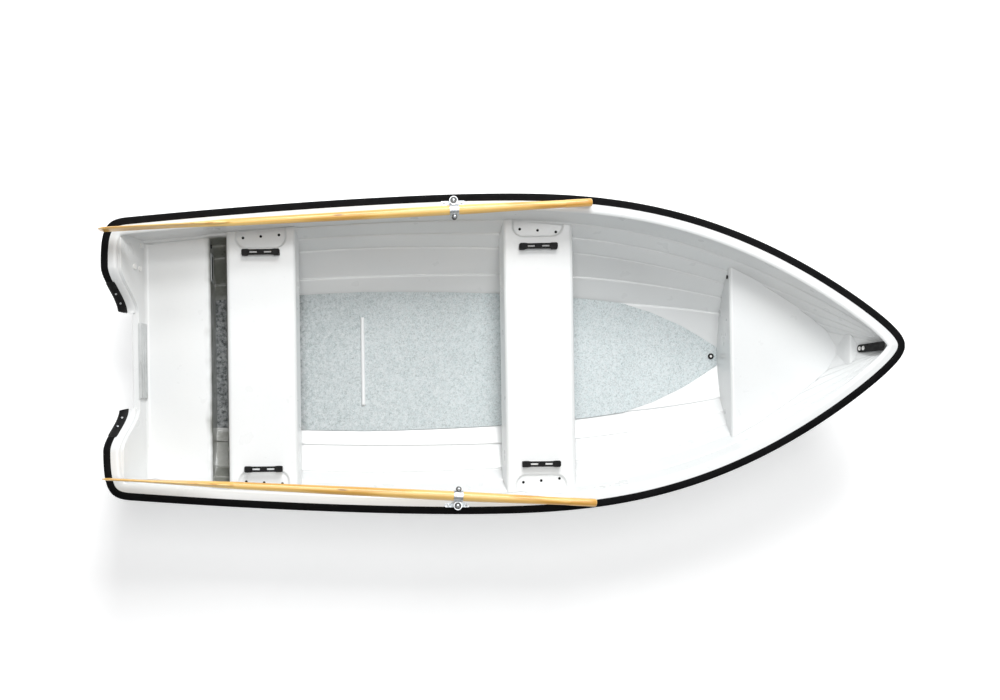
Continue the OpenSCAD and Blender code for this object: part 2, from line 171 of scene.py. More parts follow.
def soften(points, r):
    """Rounds every corner of a closed outline with three points."""
    out = []
    n = len(points)
    for i, p in enumerate(points):
        a, b = points[i - 1], points[(i + 1) % n]
        ra = min(r, (a - p).length * 0.4)
        rb = min(r, (b - p).length * 0.4)
        if min(ra, rb) < 1e-4:
            out += [p, p, p]
            continue
        pa = p + (a - p).normalized() * ra
        pb = p + (b - p).normalized() * rb
        out += [pa, pa * 0.25 + p * 0.5 + pb * 0.25, pb]
    return out


HULL_STEPS = 150
hull_x = [x_shell + (x_tip - 0.5 - x_shell) * math.sin(math.pi / 2 * i / HULL_STEPS)
          for i in range(HULL_STEPS + 1)]


def side_envelope(x):
    """Rising points of the inner face at a station: keel, then the foot and top of each plank."""
    h = half_ring(x, overhang + wall, wall)
    knuckles = h[10::-2][:5]
    feet = h[9::-2][:5]
    tops = knuckles[1:] + [h[0]]
    out = [h[11], knuckles[0]]
    for k, foot, top in zip(knuckles, feet, tops):
        f = min(0.95, max(0, (k.z - foot.z) / max(1e-6, top.z - foot.z)))
        step = foot.lerp(top, f)
        step.z += 0.01
        out += [step, top]
    return np.array([[p.z, p.x, p.y] for p in out])


inner_side = [side_envelope(x) for x in hull_x]


def reach(x, z):
    """Half breadth inside the hull at a place."""
    xs = [np.interp(z, s[:, 0], s[:, 1]) for s in inner_side]
    ys = [np.interp(z, s[:, 0], s[:, 2]) for s in inner_side]
    return float(np.interp(x, xs, ys))


def plate_x(z):
    """Front plane of the raked transom."""
    n = plan_n(x_shell)
    return x_shell - n.x * overhang + slope_t * (rim_z(x_shell) - flange_t - bond - z)


# ---------------------------------------------------------------- rim path
z_quarter = rim_z(x_end)


def drop(y):
    return notch_drop * ease((ramp_half - y) / (ramp_half - notch_half))


def port_rim():
    """Points and outward normals of the port rim from the stem to the notch."""
    out = []
    for i in range(110):
        x = x_wide + (x_tip - 0.5 - x_wide) * math.cos(math.pi / 2 * i / 110)
        out.append((Vector((x, plan_y(x), rim_z(x))), plan_n(x)))
    for i in range(60):
        x = mix(x_wide, x_quarter, i / 60)
        out.append((Vector((x, plan_y(x), rim_z(x))), plan_n(x)))
    a = Vector((x_quarter, plan_y(x_quarter), rim_z(x_quarter)))
    b = a + Vector((-100, -7, 0))
    c = Vector((x_end, a.y - 35, z_quarter))
    e = Vector((x_end, 440, z_quarter))
    for i in range(40):
        t = i / 40
        p = a * (1 - t) ** 3 + b * 3 * (1 - t) ** 2 * t + c * 3 * (1 - t) * t * t + e * t ** 3
        v = (b - a) * (1 - t) ** 2 + (c - b) * 2 * (1 - t) * t + (e - c) * t * t
        out.append((p, Vector((v.y, -v.x)).normalized()))
    for i in range(70):
        y = mix(ramp_half + 5, notch_half, i / 69)
        out.append((Vector((x_end + drop(y) * slope_t, y, z_quarter - drop(y))), Vector((-1, 0))))
    return out


def mirrored(path):
    return [(Vector((p.x, -p.y, p.z)), Vector((n.x, -n.y))) for p, n in path]


port_path = port_rim()
rim_path = mirrored(port_path)[::-1] + port_path


# ---------------------------------------------------------------- mesh helpers
def piece(name, points, faces, material, body="hull", sharp=35, place=None):
    """A mesh piece from millimetre points, smooth except at sharp corners, riding on a body."""
    mesh = bpy.data.meshes.new(name)
    mesh.from_pydata([Vector(p) * MM for p in points], [], faces)
    bm = bmesh.new()
    bm.from_mesh(mesh)
    bmesh.ops.remove_doubles(bm, verts=bm.verts, dist=0.02 * MM)
    bmesh.ops.recalc_face_normals(bm, faces=bm.faces)
    bm.to_mesh(mesh)
    bm.free()
    mesh.shade_smooth()
    mesh.set_sharp_from_angle(angle=math.radians(sharp))
    mesh.materials.append(material)
    obj = bpy.data.objects.new(name, mesh)
    scene.collection.objects.link(obj)
    if place is not None:
        obj.matrix_world = place
    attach(obj, body)
    return obj


def loft_faces(rows, cols, start=0):
    """Quads of a stack of closed rings, with both ends closed."""
    quads = [(start + i * cols + j, start + (i + 1) * cols + j,
              start + (i + 1) * cols + (j + 1) % cols, start + i * cols + (j + 1) % cols)
             for i in range(rows - 1) for j in range(cols)]
    last = start + (rows - 1) * cols
    return quads + [tuple(range(start, start + cols)), tuple(range(last, last + cols))]


def loft(name, rings, material, fan=False, **kw):
    """A piece through closed rings; fan closes bent ends with triangles about a point set inwards."""
    points = [p for r in rings for p in r]
    faces = loft_faces(len(rings), len(rings[0]))
    if fan:
        cols = len(rings[0])
        for end, inner, start in ((rings[0], rings[1], 0), (rings[-1], rings[-2], len(points) - cols)):
            middle = sum(end, Vector()) / cols
            points.append(middle.lerp(sum(inner, Vector()) / cols, 0.5))
            faces += [(start + j, start + (j + 1) % cols, len(points) - 1) for j in range(cols)]
        faces = [f for f in faces if len(f) < 5]
    return piece(name, points, faces, material, **kw)


def joined(name, parts, material, **kw):
    """Several lofts, each a list of rings, as one piece."""
    points = []
    faces = []
    for rings in parts:
        faces += loft_faces(len(rings), len(rings[0]), len(points))
        points += [p for r in rings for p in r]
    return piece(name, points, faces, material, **kw)


def lathe(profile, centre=(0, 0, 0), axis=(0, 0, 1), sides=24):
    """Rings of a turned shape: profile is (radius, height) along the axis."""
    turn = Vector((0, 0, 1)).rotation_difference(Vector(axis)).to_matrix()
    at = Vector(centre)
    return [[at + turn @ Vector((r * math.cos(a), r * math.sin(a), h))
             for a in [2 * math.pi * k / sides for k in range(sides)]]
            for r, h in profile]


def sweep(path, section):
    """Rings of a section of (inset, rise) along the rim."""
    return [[Vector((p.x - n.x * d, p.y - n.y * d, p.z + r)) for d, r in section] for p, n in path]


def rounded_outline(w, h, r):
    """Rounded rectangle centred on the origin."""
    out = []
    steps = 5
    for sx, sy, a0 in ((1, 1, 0), (-1, 1, 90), (-1, -1, 180), (1, -1, 270)):
        for k in range(steps + 1):
            a = math.radians(a0 + 90 * k / steps)
            out.append((sx * (w / 2 - r) + r * math.cos(a), sy * (h / 2 - r) + r * math.sin(a)))
    return out


def block(w, h, z0, z1, centre, r=3, soft=1.5, taper=0.0):
    """Rings of a rounded block with softened top edges."""
    cx, cy, cz = centre
    rings = []
    for z, inset in ((z0, 0), (z1 - soft, taper),
                     (z1 - soft * 0.3, taper + soft * 0.3), (z1, taper + soft)):
        rings.append([Vector((cx + x, cy + y, cz + z))
                      for x, y in rounded_outline(w - 2 * inset, h - 2 * inset, max(0.5, r - inset * 0.3))])
    return rings


def plate(name, outlines, z0, z1, material, soft, place):
    """A flat plate with holes: filled curves, extruded and bevelled, then turned into a mesh."""
    curve = bpy.data.curves.new(name, "CURVE")
    curve.dimensions = "2D"
    curve.fill_mode = "BOTH"
    curve.extrude = (z1 - z0) / 2 * MM - soft * MM
    curve.bevel_depth = soft * MM
    curve.bevel_resolution = 2
    for outline in outlines:
        spline = curve.splines.new("POLY")
        spline.points.add(len(outline) - 1)
        spline.use_cyclic_u = True
        for point, (x, y) in zip(spline.points, outline):
            point.co = (x * MM, y * MM, 0, 1)
    temp = bpy.data.objects.new(name, curve)
    scene.collection.objects.link(temp)
    mesh = bpy.data.meshes.new_from_object(temp.evaluated_get(bpy.context.evaluated_depsgraph_get()))
    bpy.data.objects.remove(temp)
    mesh.transform(Matrix.Translation((0, 0, (z0 + z1) / 2 * MM)))
    mesh.transform(place)
    mesh.name = name
    mesh.materials.clear()
    mesh.materials.append(material)
    mesh.shade_smooth()
    mesh.set_sharp_from_angle(angle=math.radians(30))
    obj = bpy.data.objects.new(name, mesh)
    scene.collection.objects.link(obj)
    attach(obj, "hull")
    return obj


# ---------------------------------------------------------------- material helpers
class Paint:
    """A principled material with short calls for its procedural nodes."""

    def __init__(self, name, **sockets):
        self.material = bpy.data.materials.new(name)
        self.material.use_nodes = True
        self.tree = self.material.node_tree
        self.shader = self.tree.nodes["Principled BSDF"]
        for key, value in sockets.items():
            self.shader.inputs[key.replace("_", " ")].default_value = value
        self.coords = self.tree.nodes.new("ShaderNodeTexCoord").outputs["Object"]
        self.normal = None

    def link(self, a, b):
        self.tree.links.new(a, b)

    def stretched(self, stretch):
        if stretch == (1, 1, 1):
            return self.coords
        mapping = self.tree.nodes.new("ShaderNodeMapping")
        mapping.inputs["Scale"].default_value = stretch
        self.link(self.coords, mapping.inputs["Vector"])
        return mapping.outputs["Vector"]

    def noise(self, scale, detail=3, rough=0.55, stretch=(1, 1, 1)):
        n = self.tree.nodes.new("ShaderNodeTexNoise")
        n.inputs["Scale"].default_value = scale
        n.inputs["Detail"].default_value = detail
        n.inputs["Roughness"].default_value = rough
        self.link(self.stretched(stretch), n.inputs["Vector"])
        return n.outputs["Fac"]

    def cells(self, scale, stretch=(1, 1, 1), out="Distance"):
        n = self.tree.nodes.new("ShaderNodeTexVoronoi")
        n.inputs["Scale"].default_value = scale
        self.link(self.stretched(stretch), n.inputs["Vector"])
        return n.outputs[out]

    def wave(self, scale, twist, stretch):
        n = self.tree.nodes.new("ShaderNodeTexWave")
        n.wave_type = "RINGS"
        n.rings_direction = "X"
        n.inputs["Scale"].default_value = scale
        n.inputs["Distortion"].default_value = twist
        n.inputs["Detail"].default_value = 2
        self.link(self.stretched(stretch), n.inputs["Vector"])
        return n.outputs["Fac"]

    def along_ramp(self, axis, *stops):
        """Grey levels set by the place along one axis in metres, with wavy borders."""
        wander = 0.05
        n = self.tree.nodes.new("ShaderNodeTexNoise")
        n.inputs["Scale"].default_value = 9
        self.link(self.coords, n.inputs["Vector"])
        shift = self.tree.nodes.new("ShaderNodeVectorMath")
        shift.operation = "MULTIPLY_ADD"
        self.link(n.outputs["Color"], shift.inputs[0])
        shift.inputs[1].default_value = (wander, wander, wander)
        self.link(self.coords, shift.inputs[2])
        split = self.tree.nodes.new("ShaderNodeSeparateXYZ")
        self.link(shift.outputs["Vector"], split.inputs["Vector"])
        first, last = stops[0][0], stops[-1][0]
        spread = self.tree.nodes.new("ShaderNodeMapRange")
        spread.inputs["From Min"].default_value = first + wander / 2
        spread.inputs["From Max"].default_value = last + wander / 2
        self.link(split.outputs[axis], spread.inputs["Value"])
        return self.ramp(spread.outputs["Result"], *[((at - first) / (last - first), c) for at, c in stops])

    def not_facing_down(self):
        """1 on the inner faces and level or upright ones, 0 on the outside of the hull."""
        split = self.tree.nodes.new("ShaderNodeSeparateXYZ")
        self.link(self.coords.node.outputs["Normal"], split.inputs["Vector"])
        upper = self.tree.nodes.new("ShaderNodeMath")
        upper.operation = "GREATER_THAN"
        upper.inputs[1].default_value = -0.05
        self.link(split.outputs["Z"], upper.inputs[0])
        return upper.outputs["Value"]

    def pointed(self):
        return self.tree.nodes.new("ShaderNodeNewGeometry").outputs["Pointiness"]

    def ramp(self, value, *stops):
        n = self.tree.nodes.new("ShaderNodeValToRGB")
        ramp = n.color_ramp
        while len(ramp.elements) < len(stops):
            ramp.elements.new(0.5)
        for element, (at, colour) in zip(ramp.elements, stops):
            element.position = at
            level = (colour,) * 3 if isinstance(colour, (int, float)) else colour
            element.color = (*level, 1)
        self.link(value, n.inputs["Fac"])
        return n.outputs["Color"]

    def blend(self, kind, factor, a, b):
        n = self.tree.nodes.new("ShaderNodeMix")
        n.data_type = "RGBA"
        n.blend_type = kind
        for key, value in (("Factor", factor), ("A", a), ("B", b)):
            socket = next(s for s in n.inputs if s.name == key and s.enabled)
            if isinstance(value, bpy.types.NodeSocket):
                self.link(value, socket)
            elif key == "Factor":
                socket.default_value = value
            else:
                socket.default_value = (*value, 1)
        return next(s for s in n.outputs if s.enabled)

    def bump(self, height, strength, distance):
        n = self.tree.nodes.new("ShaderNodeBump")
        n.inputs["Strength"].default_value = strength
        n.inputs["Distance"].default_value = distance
        self.link(height, n.inputs["Height"])
        if self.normal is not None:
            self.link(self.normal, n.inputs["Normal"])
        self.normal = n.outputs["Normal"]
        self.link(self.normal, self.shader.inputs["Normal"])

    def colour(self, value):
        self.link(value, self.shader.inputs["Base Color"])

    def rough(self, value):
        self.link(value, self.shader.inputs["Roughness"])

    def worn(self, colour, pale, amount):
        """Lightens convex edges, as handling and scuffing do."""
        edge = self.ramp(self.pointed(), (0.50, 0.0), (0.56, amount))
        spots = self.ramp(self.noise(60, 4, 0.7), (0.35, 0.0), (0.65, 1.0))
        mask = self.blend("MULTIPLY", 1.0, edge, spots)
        return self.blend("MIX", mask, colour, pale)


def make_gelcoat():
    """White gelcoat with painted shade: mixed towards dark olive on the inner faces of the gap between
    stern seat and rear thwart, and darkened in creases.
    """
    p = Paint("gelcoat", Coat_Weight=0.3, Coat_Roughness=0.12, Specular_IOR_Level=0.4)
    cloud = p.ramp(p.noise(2.5, 2), (0.3, (0.76, 0.778, 0.782)), (0.7, (0.785, 0.797, 0.793)))
    # Painted shade: concave places (low pointiness), such as creases and plank lands, are darkened.
    corner = p.ramp(p.pointed(), (0.45, 0.93), (0.495, 1.0))
    grime = p.ramp(p.noise(4, 2, 0.5), (0.30, 0.985), (0.60, 1.0))
    scuff = p.ramp(p.noise(60, 4, 0.5), (0.55, 1.0), (0.85, 0.98))
    # Painted shade: a mask over the low inner faces in the gap between stern seat and rear thwart, where
    # shadow falls.
    well_x = p.along_ramp("X", (-1.37, 0.0), (-1.335, 1.0), (-1.20, 1.0), (-1.08, 0.0))
    well_z = p.along_ramp("Z", (0.07, 0.0), (0.10, 1.0), (0.30, 0.95), (0.325, 0.0))
    well = p.blend("MULTIPLY", 1.0, well_x, well_z)
    well = p.blend("MULTIPLY", 1.0, well, p.ramp(p.not_facing_down(), (0.0, 0.0), (1.0, 1.0)))
    stain_and_well_shade = p.blend("MULTIPLY", 1.0, well, p.ramp(p.noise(5, 6, 0.7), (0.25, 0.8), (0.6, 1.0)))
    tint = p.blend("MULTIPLY", 1.0, p.blend("MULTIPLY", 0.8, cloud, corner), grime)
    # Painted shade: the gap is mixed towards this dark olive.
    tint = p.blend("MIX", stain_and_well_shade, tint, (0.13, 0.135, 0.11))
    p.colour(p.worn(p.blend("MULTIPLY", 1.0, tint, scuff), (0.86, 0.86, 0.85), 0.25))
    p.rough(p.ramp(p.noise(9, 3, 0.5), (0.3, 0.27), (0.75, 0.31)))
    p.bump(p.noise(3, 1), 0.05, 0.003)
    p.bump(p.noise(420, 2), 0.01, 0.0003)
    return p.material


def make_non_skid():
    p = Paint("non_skid", Specular_IOR_Level=0.3)
    base = p.ramp(p.noise(4, 5, 0.6), (0.3, (0.52, 0.59, 0.60)), (0.7, (0.58, 0.65, 0.66)))
    # Painted shade: the floor is made very dark in the gap behind the rear thwart and under it (x below
    # -0.96 m). Over the rest of the sole it is darker towards the stern.
    well_shade_and_aft_darkening = p.along_ramp("X", (-1.35, 0.13), (-0.96, 0.16), (-0.89, 0.78), (-0.4, 0.92), (0.3, 0.98))
    base = p.blend("MULTIPLY", 1.0, base, well_shade_and_aft_darkening)
    specks = p.ramp(p.cells(230, out="Color"), (0.15, 0.74), (0.45, 1.0), (0.9, 1.12))
    dark = p.ramp(p.noise(150, 3, 0.8), (0.36, 0.70), (0.46, 1.0))
    pale = p.ramp(p.noise(110, 2, 0.7), (0.58, 0.0), (0.70, 0.35))
    mixed = p.blend("MULTIPLY", 1.0, p.blend("MULTIPLY", 1.0, base, specks), dark)
    p.colour(p.worn(p.blend("MIX", pale, mixed, (0.80, 0.82, 0.82)), (0.72, 0.74, 0.75), 0.5))
    p.rough(p.ramp(p.noise(120, 3), (0.3, 0.62), (0.7, 0.85)))
    p.bump(p.cells(260), 0.55, 0.0012)
    return p.material


def make_rubber():
    p = Paint("rail_rubber", Specular_IOR_Level=0.05)
    base = p.ramp(p.noise(14, 5, 0.7), (0.3, (0.003, 0.003, 0.0035)), (0.8, (0.008, 0.008, 0.0085)))
    scuffs = p.ramp(p.noise(50, 8, 0.8, (0.3, 1, 1)), (0.64, 0.0), (0.74, 0.25))
    p.colour(p.worn(p.blend("MIX", scuffs, base, (0.028, 0.028, 0.028)), (0.03, 0.03, 0.03), 0.4))
    p.rough(p.ramp(p.noise(40, 5, 0.7), (0.3, 0.55), (0.7, 0.72)))
    p.bump(p.noise(700, 3), 0.12, 0.0006)
    return p.material


def make_black_plastic():
    p = Paint("black_plastic", Specular_IOR_Level=0.10)
    base = p.ramp(p.noise(18, 4), (0.3, (0.004, 0.004, 0.0045)), (0.75, (0.010, 0.010, 0.0105)))
    p.colour(p.worn(base, (0.05, 0.05, 0.05), 0.5))
    p.rough(p.ramp(p.noise(90, 5), (0.3, 0.42), (0.7, 0.58)))
    p.bump(p.cells(900), 0.18, 0.0004)
    return p.material


def make_grey_plastic():
    p = Paint("grey_plastic", Specular_IOR_Level=0.4)
    base = p.ramp(p.noise(12, 5), (0.3, (0.44, 0.46, 0.46)), (0.7, (0.54, 0.56, 0.56)))
    # Painted shade: concave places, such as the grooves of the motor pad, are darkened strongly.
    base = p.blend("MULTIPLY", 1.0, base, p.ramp(p.pointed(), (0.44, 0.25), (0.50, 1.0)))
    rub = p.ramp(p.noise(30, 6, 0.8, (1, 0.2, 1)), (0.52, 1.0), (0.72, 0.75))
    p.colour(p.worn(p.blend("MULTIPLY", 1.0, base, rub), (0.68, 0.69, 0.69), 0.5))
    p.rough(p.ramp(p.noise(80, 4), (0.3, 0.45), (0.7, 0.62)))
    p.bump(p.noise(600, 3), 0.15, 0.0005)
    return p.material


def make_white_plastic():
    p = Paint("white_plastic", Specular_IOR_Level=0.5)
    base = p.ramp(p.noise(25, 4), (0.3, (0.84, 0.84, 0.82)), (0.7, (0.90, 0.90, 0.88)))
    p.colour(p.worn(base, (0.95, 0.95, 0.94), 0.5))
    p.rough(p.ramp(p.noise(60, 4), (0.3, 0.22), (0.7, 0.36)))
    p.bump(p.noise(500, 2), 0.08, 0.0004)
    return p.material


def make_zinc():
    p = Paint("galvanised", Metallic=0.9)
    flake = p.ramp(p.cells(140, out="Color"), (0.2, (0.36, 0.40, 0.43)), (0.8, (0.62, 0.65, 0.67)))
    stain_and_well_shade = p.ramp(p.noise(55, 6, 0.7), (0.32, 0.62), (0.52, 1.0))
    p.colour(p.worn(p.blend("MULTIPLY", 1.0, flake, stain_and_well_shade), (0.88, 0.88, 0.88), 0.7))
    p.rough(p.ramp(p.noise(90, 5, 0.7), (0.3, 0.28), (0.7, 0.50)))
    p.bump(p.noise(300, 4), 0.15, 0.0005)
    return p.material


def make_nylon():
    p = Paint("bearing_plastic", Specular_IOR_Level=0.4)
    base = p.ramp(p.noise(40, 4), (0.3, (0.022, 0.022, 0.024)), (0.7, (0.05, 0.05, 0.05)))
    p.colour(p.worn(base, (0.16, 0.16, 0.16), 0.6))
    p.rough(p.ramp(p.noise(120, 4), (0.3, 0.38), (0.7, 0.55)))
    p.bump(p.noise(800, 3), 0.12, 0.0004)
    return p.material


def make_pine():
    p = Paint("pine", Coat_Weight=0.45, Coat_Roughness=0.15, Specular_IOR_Level=0.4)
    rings = p.wave(26, 5.0, (0.05, 1, 1))
    tone = p.noise(3.2, 3, 0.6, (0.5, 6, 6))
    pale = p.ramp(rings, (0.15, (0.93, 0.67, 0.25)), (0.75, (0.90, 0.58, 0.17)), (0.95, (0.72, 0.40, 0.08)))
    warm = p.ramp(tone, (0.35, (1.0, 1.0, 1.0)), (0.72, (0.88, 0.70, 0.45)))
    fibre = p.ramp(p.noise(55, 6, 0.7, (0.03, 6, 6)), (0.3, 0.84), (0.6, 1.0))
    knots = p.ramp(p.cells(3.1, stretch=(1, 6.5, 6.5)), (0.045, 0.9), (0.10, 0.0))
    wood = p.blend("MULTIPLY", 1.0, p.blend("MULTIPLY", 1.0, pale, warm), fibre)
    p.colour(p.worn(p.blend("MIX", knots, wood, (0.28, 0.12, 0.03)), (0.93, 0.76, 0.42), 0.3))
    p.rough(p.ramp(p.noise(40, 5, 0.6, (0.2, 4, 4)), (0.3, 0.28), (0.7, 0.48)))
    p.bump(p.noise(90, 5, 0.7, (0.03, 6, 6)), 0.12, 0.0008)
    return p.material


def make_floor():
    p = Paint("studio_floor", Specular_IOR_Level=0.1)
    p.colour(p.ramp(p.noise(1.2, 2), (0.3, (0.91, 0.91, 0.91)), (0.7, (0.93, 0.93, 0.93))))
    p.shader.inputs["Roughness"].default_value = 0.9
    p.shader.inputs["Emission Color"].default_value = (1, 1, 1, 1)
    p.shader.inputs["Emission Strength"].default_value = 0.30
    return p.material


finish = {
    "gelcoat": make_gelcoat(),
    "non_skid": make_non_skid(),
    "rail_rubber": make_rubber(),
    "black_plastic": make_black_plastic(),
    "grey_plastic": make_grey_plastic(),
    "white_plastic": make_white_plastic(),
    "galvanised": make_zinc(),
    "bearing_plastic": make_nylon(),
    "pine": make_pine(),
}
node_slot = {s["node"]: s["material_slot"] for s in frame["record"]["subparts"]}


# ---------------------------------------------------------------- hull, transom, rim
def make_hull():
    rings = []
    for x in hull_x:
        outer = ring(x, overhang, 0)
        inner = ring(x, overhang + wall, wall)
        rings.append(soften(outer + inner[::-1], 9))
    obj = loft("hull_planks", rings, finish["gelcoat"], sharp=50)
    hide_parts("hull_shell")


def make_transom():
    front = ring(x_shell, overhang, 0)
    ramp = [ramp_half - (ramp_half - notch_half) * k / 40 for k in range(41)]
    top = z_quarter - flange_t - bond
    half_top = [(y, top - drop(y)) for y in ramp]
    outline = [(p.y, p.z) for p in front] + [(-y, z) for y, z in half_top] + half_top[::-1]
    rings = [[Vector((plate_x(z) - back, y, z)) for y, z in outline] for back in (transom_t, 0)]
    obj = loft("transom_board", rings, finish["gelcoat"])
    soft_edges(obj, 2.5)
    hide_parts("transom")


def soft_edges(obj, width):
    """Rounds an object's sharp edges with a bevel; the mesh itself stays as it is."""
    bevel = obj.modifiers.new("soft_edges", "BEVEL")
    bevel.width = width * MM
    bevel.segments = 3
    bevel.limit_method = "ANGLE"
    bevel.angle_limit = math.radians(40)
    bevel.harden_normals = True


def make_rim():
    roll_w = 22
    roll_h = 9
    roll = [(flange_in - roll_w + roll_w * math.sin(a), -roll_h * (1 - math.cos(a)))
            for a in [math.pi / 18 * k for k in range(10)]]
    flange = [(rail_w, 0)] + roll + [(flange_in, -flange_t),
              (rail_w + 8, -flange_t), (rail_w + 8, -rail_h), (rail_w, -rail_h)]
    obj = loft("rim_flange", sweep(rim_path, flange), finish["gelcoat"])
    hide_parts("gunwale_flange")
    top = 4
    mid = (top - rail_h) / 2
    half = (top + rail_h) / 2
    section = [(rail_w + 8, -1), (rail_w + 7.5, 1.5), (rail_w + 5, 3.6), (rail_w, top)]
    for k in range(25):
        a = math.pi / 2 * (1 + k / 12)
        c, s = math.cos(a), math.sin(a)
        d = rail_w - 8 - abs(c) ** 0.75 * (rail_w - 8)
        groove = 1.6 * math.exp(-((k - 12) / 1.6) ** 2)
        section.append((d + groove, mid + math.copysign(abs(s) ** 0.75, s) * half))
    section.append((rail_w, -rail_h))
    rail = [q for q in rim_path if not (q[0].x < x_end + 200 and abs(q[0].y) < cap_half - 1)]
    obj = loft("rub_rail_strip", sweep(rail, section), finish["rail_rubber"])
    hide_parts("rub_rail")


def make_rail_caps():
    """Moulded ends of the rail on the ramps of the notch, wide enough to cover the edge of the flange."""
    cap_w = 44
    section = [(-1.5, -6), (-1, -1), (2, 3.5), (8, 6), (14, 6.5), (36, 6.5), (42, 5),
               (cap_w, 0.4), (26, 0.2), (26, -rail_h), (8, -rail_h), (1, -27), (-1.5, -20)]
    half = [q for q in port_path if q[0].x < x_end + 200 and q[0].y < cap_half + 6]
    parts = []
    heads = []
    for path in (half, mirrored(half)):
        rings = []
        last = len(path) - 1
        for i, (p, n) in enumerate(path):
            f = i / last
            along = (path[min(i + 1, last)][0] - path[max(i - 1, 0)][0]).normalized()
            grow = min(1, 0.86 + 2 * f)
            lean = 9 * max(0, f - 0.8) / 0.2
            out = Vector((n.x, n.y, 0))
            rings.append([p - out * (rail_w + (d - rail_w) * grow)
                          + Vector((0, 0, r * (grow if r > 0 else 1)))
                          + along * lean * (d - cap_w) / cap_w for d, r in section])
        middle = sum(rings[-1], Vector()) / len(section)
        onward = (rings[-1][5] - rings[-2][5]).normalized() * 1.5
        rings.append([q.lerp(middle, 0.12) + onward for q in rings[-1]])
        parts.append(rings)
        for share in (0.42, 0.74):
            i = int(share * last)
            p, n = path[i]
            along = (path[i + 1][0] - path[i - 1][0]).normalized()
            up = along.cross(Vector((n.x, n.y, 0))).normalized()
            up *= math.copysign(1, up.z)
            out = Vector((n.x, n.y, 0))
            heads.append(lathe(screw_profile(5), p - out * 22 - along * 10 + up * 5.2, up))
    obj = joined("rail_end_mouldings", parts, finish["black_plastic"])
    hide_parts("rail_end_caps")
    screws = joined("rail_end_screws", heads, finish["galvanised"])


def screw_profile(r):
    """Pan head with a socket, from its rim to the bottom of the socket."""
    return [(r, -0.5), (r, 0.5), (r * 0.86, 1.3), (r * 0.5, 1.8),
            (r * 0.42, 1.7), (r * 0.38, 0.4), (0.05, 0.3)]


# ---------------------------------------------------------------- seats and thwarts
def cross_rings(profile, shares, sink=None):
    """Rings of a piece that crosses the hull: each profile point runs from side to side."""
    ends = [max(0.5, reach(x, z) - 1) for x, z in profile]
    rings = []
    for t in shares:
        ring_points = []
        for (x, z), end in zip(profile, ends):
            y = t * end
            ring_points.append(Vector((x, y, z - (sink(x, y, z) if sink else 0))))
        rings.append(ring_points)
    return rings


def even(a, b, n):
    return [a + (b - a) * k / n for k in range(n + 1)]


pocket_w = 240
pocket_d = 9
pocket_in = 175
pocket_r = 52


def make_thwart(node):
    lo, hi = box_mm(node)
    xc = (lo.x + hi.x) / 2
    top, low = hi.z, lo.z
    r = 14
    half = (hi.x - lo.x) / 2 - 12
    arc = [(half - r + r * math.sin(a), top - r + r * math.cos(a))
           for a in [math.pi / 12 * k for k in range(1, 7)]]
    flat = [(x, top) for x in even(half - r, -half + r, 74)]
    side = [(half, top - r), (half + 1.0, top - 24), (half + 11, low + 8),
            (half + 12, low + 2), (half + 9, low)]
    right = arc[:-1] + side
    left = [(-x, z) for x, z in right[::-1]]
    profile = [(xc + x, z) for x, z in left + flat[::-1] + right]
    start = plan_y(xc) - pocket_in

    def sink(x, y, z):
        """Depth of the screwed end pocket under a point of the top."""
        if z < top - 0.01:
            return 0
        u = abs(x - xc)
        v = abs(y) - start
        a = pocket_w / 2 - u
        inside = min(a, v)
        if a < pocket_r and v < pocket_r:
            inside = pocket_r - math.hypot(pocket_r - a, pocket_r - v)
        return pocket_d * ease((inside + 1) / 6)

    fine = [0.80 + 0.20 * k / 46 for k in range(47)]
    shares = [-t for t in fine[::-1]] + even(-0.78, 0.78, 40) + fine
    obj = loft(node + "_moulding", cross_rings(profile, shares, sink), finish["gelcoat"],
               fan=True, sharp=60)
    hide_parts(node)
    heads = []
    for side_y in (-1, 1):
        for dx in (-84, 0, 86):
            y = side_y * (reach(xc + dx, top - pocket_d) - 34)
            heads.append(lathe(screw_profile(6.5), (xc + dx, y, top - pocket_d + 0.3)))
    screws = joined(node + "_screws", heads, finish["black_plastic"])


def make_stern_seat():
    hi = box_mm("stern_seat")[1]
    floor_z = box_mm("sole")[1].z + 1
    top = hi.z
    r = 16
    arc = [(hi.x - r + r * math.sin(a), top - r + r * math.cos(a))
           for a in [math.pi / 16 * k for k in range(9)]]
    cove_w = 16
    cove_h = 12
    cove = []
    for k in range(7):
        a = math.pi / 12 * k
        z = top + cove_h * (1 - math.sin(a))
        cove.append((plate_x(z) + 0.3 + cove_w * (1 - math.cos(a)), z))
    back = [(plate_x(z) + 1, z) for z in (floor_z, mix(floor_z, top, 0.5))]
    flat = [(x, top) for x in even(plate_x(top) + 18, hi.x - r - 3, 40)]
    profile = back + cove + flat + arc + [(hi.x, z) for z in even(top - r - 4, floor_z, 8)]
    obj = loft("stern_seat_moulding", cross_rings(profile, even(-1, 1, 60)), finish["gelcoat"],
               fan=True, sharp=60)
    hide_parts("stern_seat")


def make_bow_seat():
    lo, hi = box_mm("bow_seat")
    top = hi.z
    r = 14
    front = hi.x - 4
    arc = [(lo.x + r - r * math.sin(a), top - r + r * math.cos(a))
           for a in [math.pi / 16 * k for k in range(8, -1, -1)]]
    flat = [(x, top) for x in even(lo.x + r + 3, front, 50)]
    floor_z = box_mm("sole")[1].z + 1

    def bottom(x):
        return max(floor_z, min(top - 6, keel_z(x + 25) + wall * 1.5 + 6))

    under = [(x, bottom(x)) for x in even(front, lo.x, 24)]
    profile = under + [(lo.x, z) for z in even(floor_z + 8, top - r - 3, 10)] + arc + flat
    obj = loft("bow_seat_moulding", cross_rings(profile, even(-1, 1, 60)), finish["gelcoat"],
               fan=True, sharp=60)
    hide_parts("bow_seat")


